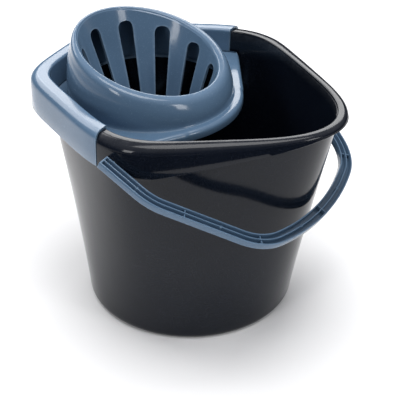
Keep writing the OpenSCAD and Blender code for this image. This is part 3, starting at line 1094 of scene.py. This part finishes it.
    def _slot_ends(self, number: int) -> tuple[float, float, float]:
        """Returns a slot's bearing and the heights of its lower and upper round ends."""
        bearing = 180.0 + number * 360.0 / self.slots
        lean = math.atan(self.cone_slope)
        tip = self.lip_height - self.slot_drop - sind(self.lip_tilt) * 76.0 * cosd(bearing)
        return bearing, self.cone_low + 16.0, tip - self.slot_top / 2.0 * math.cos(lean)

    def _slot_side(self, number: int, row: int, side: float) -> tuple[float, float]:
        """Places a slot's side.

        Args:
            number: The slot's number.
            row: The loop's number, from the cone's lower edge.
            side: -1 to 1 across the slot.

        Returns:
            The bearing and the height.
        """
        bearing, low, high = self._slot_ends(number)
        lean = math.atan(self.cone_slope)
        turn = {2: 45.0, 3: 68.0, 4: 90.0, 10: 90.0, 11: 68.0, 12: 45.0}.get(row)
        if turn is None:
            share = (row - 4) / 6.0
            u = blend(self.slot_low, self.slot_top, share) / 2.0 * abs(side)
            height = blend(low, high, share)
        else:
            below, tip = row <= 4, row in (2, 12)
            turn *= abs(side) if tip else 1.0
            reach = self._round((self.slot_low if below else self.slot_top) / 2.0, turn)
            u = reach * sind(turn) * (1.0 if tip else abs(side))
            along = reach * cosd(turn) * (-1.0 if below else 1.0)
            height = (low if below else high) + along * math.cos(lean)
        r = self.cone_slope * (height - self.cone_tip)
        return bearing + math.copysign(math.degrees(math.asin(u / r)), side), height

    @staticmethod
    def _round(half: float, turn: float) -> float:
        """Returns the radius of a slightly squared round end at an angle off its axis."""
        n = 2.5
        return half / (abs(sind(turn)) ** n + abs(cosd(turn)) ** n) ** (1.0 / n)

    def _cone_place(self, column: int, row: int) -> Vector:
        """Returns the place of one point of the slotted cone.

        Args:
            column: The point's number round the cone.
            row: The loop's number, 0 at the cone's lower edge and 16 under the lip.

        Returns:
            The place.
        """
        pitch = self.slot_parts + self.bar_parts
        number, part = divmod(column, pitch)
        even = 180.0 + (column - self.slot_parts / 2.0) * 360.0 / (self.slots * pitch)
        if part <= self.slot_parts:
            side = (part - self.slot_parts / 2.0) / (self.slot_parts / 2.0)
            spot = self._slot_side(number, max(2, min(12, row)), side)
            tip = self._slot_ends(number)[2]
        else:
            share = (part - self.slot_parts) / self.bar_parts
            a = self._slot_side(number, max(2, min(12, row)), 1.0)
            b = self._slot_side(number + 1, max(2, min(12, row)), -1.0)
            ease = share * share * (3.0 - 2.0 * share)
            spot = (blend(a[0], b[0], share), blend(a[1], b[1], ease))
            tip = blend(self._slot_ends(number)[2], self._slot_ends(number + 1)[2], ease)
        if row == 0:
            return self._cone(even, self.cone_low)
        if row == 1:
            return self._cone(blend(even, spot[0], 0.5), self.cone_low + 5.5)
        if row <= 12:
            return self._cone(*spot)
        mouth = self._mouth(even, 0.0, -5.0)
        top = mouth.z / MM
        start = tip + self.slot_top / 2.0 + 2.0
        if row == 13:
            return self._cone(blend(even, spot[0], 0.45), start)
        share = (row - 13) / 3.0
        near = self._cone(blend(even, spot[0], 0.12 if row == 14 else 0.0),
                          blend(start, top, share))
        return mouth if row == 16 else near

    def _sheet(self) -> Skin:
        """Grows the cone, the lip and the ring's wall as one sheet, up and over the lip."""
        count = self.slots * (self.slot_parts + self.bar_parts)
        even = [180.0 + (i - self.slot_parts / 2.0) * 360.0 / count for i in range(count)]

        def ring(share: float) -> Place:
            """Returns the places of a loop a share of the way down the ring's wall."""
            def at(i: int) -> Vector:
                """Returns one point, between the lip's rounding and the foot."""
                high, foot = self._wall_ends(even[i])
                down = blend(self.lip_round, (foot - high).length / MM, share)
                return self._ring_wall(even[i], down)
            return at

        skin = Skin(count, lambda i: self._cone_place(i, 0))
        for row in range(1, 17):
            skin.grow(lambda i, row=row: self._cone_place(i, row))
        for step in range(14):
            skin.grow(lambda i, step=step: self._crest(even[i], step))
        for share in (0.04, 0.08, 0.12, 0.16, 0.21, 0.27, 0.36, 0.46, 0.58, 0.7, 0.82, 0.92,
                      1.0):
            skin.grow(ring(share))
        for out, up in ((0.1, 2.6), (0.35, 1.5), (0.8, 0.6), (1.5, 0.0)):
            skin.grow(lambda i, o=out, u=up: self._foot(even[i], self.ring_foot + o,
                                                        self.tray_height + u))
        return skin

    def _slot_faces(self, skin: Skin) -> list[bmesh.types.BMFace]:
        """Returns the sheet's faces that lie in the slots."""
        pitch, faces = self.slot_parts + self.bar_parts, []
        for row in range(2, 12):
            low, high = skin.rows[row], skin.rows[row + 1]
            for number in range(self.slots):
                for a in range(number * pitch, number * pitch + self.slot_parts):
                    corners = {low[a], low[a + 1], high[a], high[a + 1]}
                    faces += [face for face in low[a].link_faces
                              if set(face.verts) == corners]
        return faces

    def _funnel(self) -> BMesh:
        """Opens the slots in the sheet, gives it its wall and rounds the slots' edges."""
        skin = self._sheet()
        mesh = skin.mesh
        bmesh.ops.delete(mesh, geom=self._slot_faces(skin), context="FACES")
        bmesh.ops.recalc_face_normals(mesh, faces=mesh.faces)
        top = max(mesh.faces, key=lambda face: face.calc_center_median().z)
        if top.normal.z < 0.0:
            bmesh.ops.reverse_faces(mesh, faces=mesh.faces)
        walled = self.shop.thicken(mesh, self.plate)
        low, high = (self.cone_low + 6.0) * MM, (self.tray_height + self.foot_fillet) * MM

        def round_slot(edge: bmesh.types.BMEdge) -> bool:
            """Says whether an edge bounds a slot rather than the sheet's own ends."""
            mid = (edge.verts[0].co + edge.verts[1].co) / 2.0
            ring = math.hypot(mid.x / MM - self.plan.shift + self.ring_back, mid.y / MM)
            return mid.z > low and (mid.z > high or ring < self.ring_foot - 6.0)

        self.shop.soften(walled, round_slot, 0.5, 55.0)
        bmesh.ops.dissolve_degenerate(walled, dist=2e-6, edges=walled.edges)
        return walled

    def build(self) -> None:
        """Makes the collar, the tray and the funnel, and dresses the hub."""
        self.shop.finish("collar", self._collar(), Body.WRINGER, SLATE,
                         ("wringer_collar_top", "wringer_collar_outer",
                          "wringer_collar_inner"))
        self.shop.finish("tray", self._tray(), Body.WRINGER, SLATE,
                         ("wringer_tray", "wringer_flange"))
        self.shop.finish("funnel", self._funnel(), Body.WRINGER, SLATE,
                         ("wringer_ring", "wringer_lip", "wringer_cone_band",
                          "wringer_cone_bars", "wringer_cone_foot"))
        self.shop.carry_over(("wringer_hub",), SLATE)


# ---- Bail -------------------------------------------------------------------------------


@dataclass
class Bail:
    """The swinging bail: a band with two open channels, closed ends, small cross webs and
    pegs on its centre rib."""

    shop: Workshop
    plan: RimPlan = field(default_factory=RimPlan)
    arm: float = 160.067
    hang: float = 118.5
    width: float = 14.0
    depth: float = 8.0
    skin: float = 1.5
    rib: float = 1.3
    arm_length: float = 40.0
    bend_radius: float = 60.0
    bend: float = 28.0
    lean_length: float = 86.0
    corner_radius: float = 60.0
    corner: float = 46.0
    tail: float = 9.0
    peg_radius: float = 1.5

    def __post_init__(self) -> None:
        """Works out the centres of the band's bends."""
        self.bend_centre = (self.arm_length, self.arm - self.bend_radius)
        b, c = cosd(self.bend), sind(self.bend)
        p = (self.bend_centre[0] + self.bend_radius * c,
             self.bend_centre[1] + self.bend_radius * b)
        q = (p[0] + self.lean_length * b, p[1] - self.lean_length * c)
        self.lean_start = p
        self.corner_centre = (q[0] - self.corner_radius * c, q[1] - self.corner_radius * b)
        self.crown = self.bend + self.corner
        end = (self.corner_centre[0] + self.corner_radius * sind(self.crown),
               self.corner_centre[1] + self.corner_radius * cosd(self.crown))
        self.crown_radius = end[1] / cosd(self.crown)
        self.crown_centre = (end[0] - self.crown_radius * sind(self.crown), 0.0)
        self.marks = (0.0, self.tail + self.arm_length,
                      math.radians(self.bend) * self.bend_radius, self.lean_length,
                      math.radians(self.corner) * self.corner_radius,
                      math.radians(90.0 - self.crown) * self.crown_radius)

    def half(self) -> float:
        """Returns the length of half the band, from one end to the crown's middle."""
        return sum(self.marks)

    def station(self, along: float) -> tuple[tuple[float, float], tuple[float, float]]:
        """Finds a place on the band's centre line.

        Args:
            along: The distance from the near end of the first half.

        Returns:
            The place and the outward direction, each as depth and across.
        """
        total = self.half()
        flip = along > total
        s = 2.0 * total - along if flip else along
        _, straight, bend, lean, corner, _ = self.marks
        if s <= straight:
            spot, turn = (s - self.tail, self.arm), 0.0
        elif s <= straight + bend:
            turn = math.degrees((s - straight) / self.bend_radius)
            spot = (self.bend_centre[0] + self.bend_radius * sind(turn),
                    self.bend_centre[1] + self.bend_radius * cosd(turn))
        elif s <= straight + bend + lean:
            d, turn = s - straight - bend, self.bend
            spot = (self.lean_start[0] + d * cosd(turn), self.lean_start[1] - d * sind(turn))
        elif s <= straight + bend + lean + corner:
            d = s - straight - bend - lean
            turn = self.bend + math.degrees(d / self.corner_radius)
            spot = (self.corner_centre[0] + self.corner_radius * sind(turn),
                    self.corner_centre[1] + self.corner_radius * cosd(turn))
        else:
            d = s - straight - bend - lean - corner
            turn = self.crown + math.degrees(d / self.crown_radius)
            spot = (self.crown_centre[0] + self.crown_radius * sind(turn),
                    self.crown_radius * cosd(turn))
        out = (sind(turn), cosd(turn))
        if flip:
            spot, out = (spot[0], -spot[1]), (out[0], -out[1])
        return spot, out

    def place(self, along: float, out: float, up: float) -> Vector:
        """Returns a point of the band, in metres in the model's frame.

        Args:
            along: The distance along the centre line.
            out: The distance outward from it.
            up: The height toward the band's open face.

        Returns:
            The point.
        """
        spot, away = self.station(along)
        deep, across = spot[0] + away[0] * out, spot[1] + away[1] * out
        tip = self.hang - 90.0
        x = self.plan.pivot[0] + self.plan.shift + deep * cosd(tip) + up * sind(tip)
        z = self.plan.pivot[1] - deep * sind(tip) + up * cosd(tip)
        return Vector((x, across, z)) * MM

    def _section(self) -> list[tuple[float, float, bool]]:
        """Returns the band's section: distance out, height, and whether it lies down in a
        channel."""
        w, t, k, m, r = self.width / 2.0, self.depth / 2.0, self.skin, self.rib / 2.0, 0.35
        floor = 2.0 - t

        def top(a: float, b: float) -> list[tuple[float, float, bool]]:
            """Returns the rounded top of a wall between two faces."""
            s = math.copysign(r, b - a)
            return [(a, t - r, False), (a + 0.3 * s, t - 0.1, False), (a + s, t, False),
                    (b - s, t, False), (b - 0.3 * s, t - 0.1, False), (b, t - r, False)]

        def channel(a: float, b: float) -> list[tuple[float, float, bool]]:
            """Returns the sides and floor of a channel between two faces."""
            s = math.copysign(0.5, b - a)
            return [(a, floor + 0.5, True), (a + s, floor, True), (b - s, floor, True),
                    (b, floor + 0.5, True)]

        return (top(w, w - k) + channel(w - k, m) + top(m, -m) + channel(-m, k - w)
                + top(k - w, -w)
                + [(-w, 0.0, False), (-w, 0.6 - t, False), (0.2 - w, 0.15 - t, False),
                   (0.7 - w, -t, False), (w - 0.7, -t, False), (w - 0.2, 0.15 - t, False),
                   (w, 0.6 - t, False), (w, 0.0, False)])

    def _features(self) -> tuple[list[float], list[float]]:
        """Returns where the cross webs and the pegs stand along the band."""
        _, straight, bend, lean, corner, crown = self.marks
        start = straight + bend
        half = self.half()
        webs = [start + 22.0, start + lean + corner * 0.45]
        pegs = [self.tail + self.arm_length - 4.0, start + 62.0,
                start + lean + corner + crown * 0.44]

        def both(spots: list[float]) -> list[float]:
            """Returns the places on both halves of the band, in order."""
            return sorted(spots + [2.0 * half - s for s in spots])

        return sorted(both(webs) + [half]), both(pegs)

    def _band(self) -> BMesh:
        """Carries the section along the band, with its channels raised at the webs."""
        section, half = self._section(), self.half()
        webs, _ = self._features()
        cover, whole, parts = self.depth / 2.0, 2.0 * half, 170
        shut, bare, web = 9.0, -9.0, cover - 1.4
        steps = {round(i * whole / parts, 4) for i in range(parts + 1)}
        levels: list[tuple[float, float]] = [
            (0.0, shut), (self.skin, shut), (whole - self.skin, shut), (whole, shut),
            (self.skin + 0.15, bare), (whole - self.skin - 0.15, bare)]
        for spot in webs:
            steps = {s for s in steps if abs(s - spot) > 1.6}
            levels += [(spot - 0.95, bare), (spot - 0.6, web), (spot + 0.6, web),
                       (spot + 0.95, bare)]
        levels += [(s, bare) for s in steps if 2.4 < s < whole - 2.4]
        levels.sort()

        def at(along: float, level: float) -> Place:
            """Returns the places of one section of the band."""
            def spot(i: int) -> Vector:
                """Returns one point, lifted where a web fills the channel."""
                out, up, low = section[i]
                wall = abs(out) < self.width / 2.0 - self.skin + 0.01
                if level == shut and low:
                    middle = math.copysign((self.width / 2.0 - self.skin) / 2.0, out)
                    out, up = blend(out, middle, 0.12), cover - 0.14
                elif level == shut and wall and cover - 0.5 < up < cover - 0.2:
                    up = cover - 0.12
                elif low:
                    up = max(up, level)
                return self.place(along, out, up)
            return spot

        skin = Skin(len(section), at(*levels[0]))
        for along, level in levels[1:]:
            skin.grow(at(along, level))
        return skin.cap_ends().face_outward().mesh

    def _pegs(self) -> BMesh:
        """Stands the small pegs on the centre rib."""
        pegs = bmesh.new()
        tip = math.radians(self.hang - 90.0)
        height = self.depth - 2.0 + 0.4
        for along in self._features()[1]:
            made = bmesh.ops.create_cone(pegs, cap_ends=True, segments=24,
                                         radius1=(self.peg_radius + 0.15) * MM,
                                         radius2=self.peg_radius * MM, depth=height * MM)
            middle = self.place(along, 0.0, self.depth / 2.0 - height / 2.0)
            for vert in made["verts"]:
                x, z = vert.co.x, vert.co.z
                vert.co.x = x * math.cos(tip) + z * math.sin(tip)
                vert.co.z = z * math.cos(tip) - x * math.sin(tip)
                vert.co += middle
        bmesh.ops.bevel(pegs, geom=[e for e in pegs.edges
                                    if e.calc_face_angle(0.0) > math.radians(60.0)],
                        offset=0.25 * MM, segments=2, profile=0.5, affect="EDGES",
                        material=-1, offset_type="OFFSET")
        return pegs

    def build(self) -> None:
        """Makes the band and its pegs, and dresses the pins."""
        self.shop.finish("bail_band", self._band(), Body.BAIL, SLATE,
                         ("bail_web", "bail_outer_wall", "bail_inner_wall",
                          "bail_centre_rib", "bail_end_near", "bail_end_far"))
        self.shop.finish("bail_pegs", self._pegs(), Body.BAIL, SLATE, ("bail_cross_ribs",))
        self.shop.carry_over(("bail_pin_near", "bail_pin_far"), SLATE)


# ---- Studio -----------------------------------------------------------------------------


@dataclass(frozen=True)
class Softbox:
    """A square lamp: its bearing, its rise and distance in degrees and metres, its size and
    its power."""

    name: str
    bearing: float
    rise: float
    away: float
    size: tuple[float, float]
    power: float
    colour: tuple[float, float, float] = (1.0, 1.0, 1.0)
    aim: tuple[float, float, float] = (0.0, 0.0, 0.22)

    def light(self) -> None:
        """Hangs the lamp."""
        data = bpy.data.lights.new(self.name, "AREA")
        data.shape, data.size, data.size_y = "RECTANGLE", *self.size
        data.energy, data.color = self.power, self.colour
        lamp = bpy.data.objects.new(self.name, data)
        back = Vector((cosd(self.bearing) * cosd(self.rise),
                       sind(self.bearing) * cosd(self.rise), sind(self.rise)))
        lamp.location = Vector(self.aim) + back * self.away
        lamp.rotation_euler = (-back).to_track_quat("-Z", "Y").to_euler()
        lamp.visible_camera = False
        bpy.context.scene.collection.objects.link(lamp)


@dataclass
class Studio:
    """The plain pale floor, the soft light and the camera."""

    finishes: Finishes
    lens: float = 125.23
    eye: tuple[float, float, float] = (0.6754, -1.1426, 0.9604)
    azimuth: float = 30.38
    elevation: float = 32.62
    sky: tuple[tuple[float, float], ...] = ((0.0, 0.02), (0.3, 0.10), (0.75, 0.65),
                                            (1.0, 0.9))
    card_near: float = 0.44
    card_far: float = 3.0
    card_half: float = 1.1
    boxes: tuple[Softbox, ...] = (
        Softbox("top_box", 0.0, 85.0, 1.8, (1.2, 1.2), 24.0),
        Softbox("back_box", 119.0, 30.0, 1.9, (1.4, 0.46), 10.0),
        Softbox("back_left_box", 163.0, 36.0, 1.8, (1.3, 0.8), 13.0),
        Softbox("key_left_box", -97.0, 20.0, 1.6, (0.34, 0.55), 4.2),
        Softbox("key_right_box", -8.0, 21.0, 1.6, (0.34, 0.55), 4.2),
    )

    def _floor(self) -> None:
        """Lays the floor."""
        mesh = bmesh.new()
        bmesh.ops.create_circle(mesh, cap_ends=True, segments=96, radius=9.0)
        floor = Workshop.as_object("floor", mesh)
        self.finishes.dress(floor, PaleFloor())

    def _card(self) -> None:
        """Lays a black card before the set, which only gloss can see."""
        mesh = bmesh.new()
        made = bmesh.ops.create_grid(mesh, x_segments=1, y_segments=1, size=1.0)["verts"]
        depth = (self.card_far - self.card_near) / 2.0
        bmesh.ops.scale(mesh, verts=made, vec=(self.card_half, depth, 1.0))
        bmesh.ops.translate(mesh, verts=made, vec=(0.0, -self.card_near - depth, 0.004))
        bmesh.ops.rotate(mesh, verts=made, cent=(0.0, 0.0, 0.0),
                         matrix=Matrix.Rotation(math.radians(self.azimuth), 3, "Z"))
        card = Workshop.as_object("black_card", mesh)
        self.finishes.dress(card, PaleFloor("card", (0.004, 0.004, 0.004)))
        card.visible_camera = card.visible_diffuse = card.visible_shadow = False

    def _sky(self) -> None:
        """Sets the even light of the room: pale above, darker toward the horizon."""
        world = bpy.data.worlds.new("studio")
        bpy.context.scene.world = world
        g = Graph(world)
        split, ramp = g.add("SeparateXYZ"), g.add("ValToRGB")
        back, out = g.add("Background"), g.add("OutputWorld")
        stops = ramp.color_ramp.elements
        for number, (height, tone) in enumerate(self.sky):
            stop = stops[number] if number < 2 else stops.new(height)
            stop.position, stop.color = height, (tone, tone, tone * 1.04, 1.0)
        g.join(g.add("TexCoord").outputs["Generated"], split.inputs[0])
        g.join(split.outputs["Z"], ramp.inputs[0])
        g.join(ramp.outputs["Color"], back.inputs["Color"])
        g.join(back.outputs["Background"], out.inputs["Surface"])

    def _camera(self) -> None:
        """Sets up the camera."""
        data = bpy.data.cameras.new("camera")
        data.lens, data.sensor_width = self.lens, 36.0
        data.clip_start, data.clip_end = 0.05, 60.0
        camera = bpy.data.objects.new("camera", data)
        back = Vector((sind(self.azimuth) * cosd(self.elevation),
                       -cosd(self.azimuth) * cosd(self.elevation), sind(self.elevation)))
        camera.location = self.eye
        camera.rotation_mode = "QUATERNION"
        camera.rotation_quaternion = (-back).to_track_quat("-Z", "Y")
        bpy.context.scene.collection.objects.link(camera)
        bpy.context.scene.camera = camera

    def build(self) -> None:
        """Makes the floor, the light and the camera."""
        self._floor()
        self._card()
        self._sky()
        for box in self.boxes:
            box.light()
        self._camera()
        bpy.context.scene.view_settings.view_transform = "Standard"


def main() -> None:
    """Builds the studio and each sub-assembly."""
    logging.basicConfig(level=logging.INFO, format="%(name)s: %(message)s", stream=sys.stdout)
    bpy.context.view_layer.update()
    finishes = Finishes()
    shop = Workshop(finishes)
    for part in (Studio(finishes), Tub(shop), Wringer(shop), Bail(shop)):
        part.build()
        LOG.info("%s done", type(part).__name__)


if __name__ == "__main__":
    main()
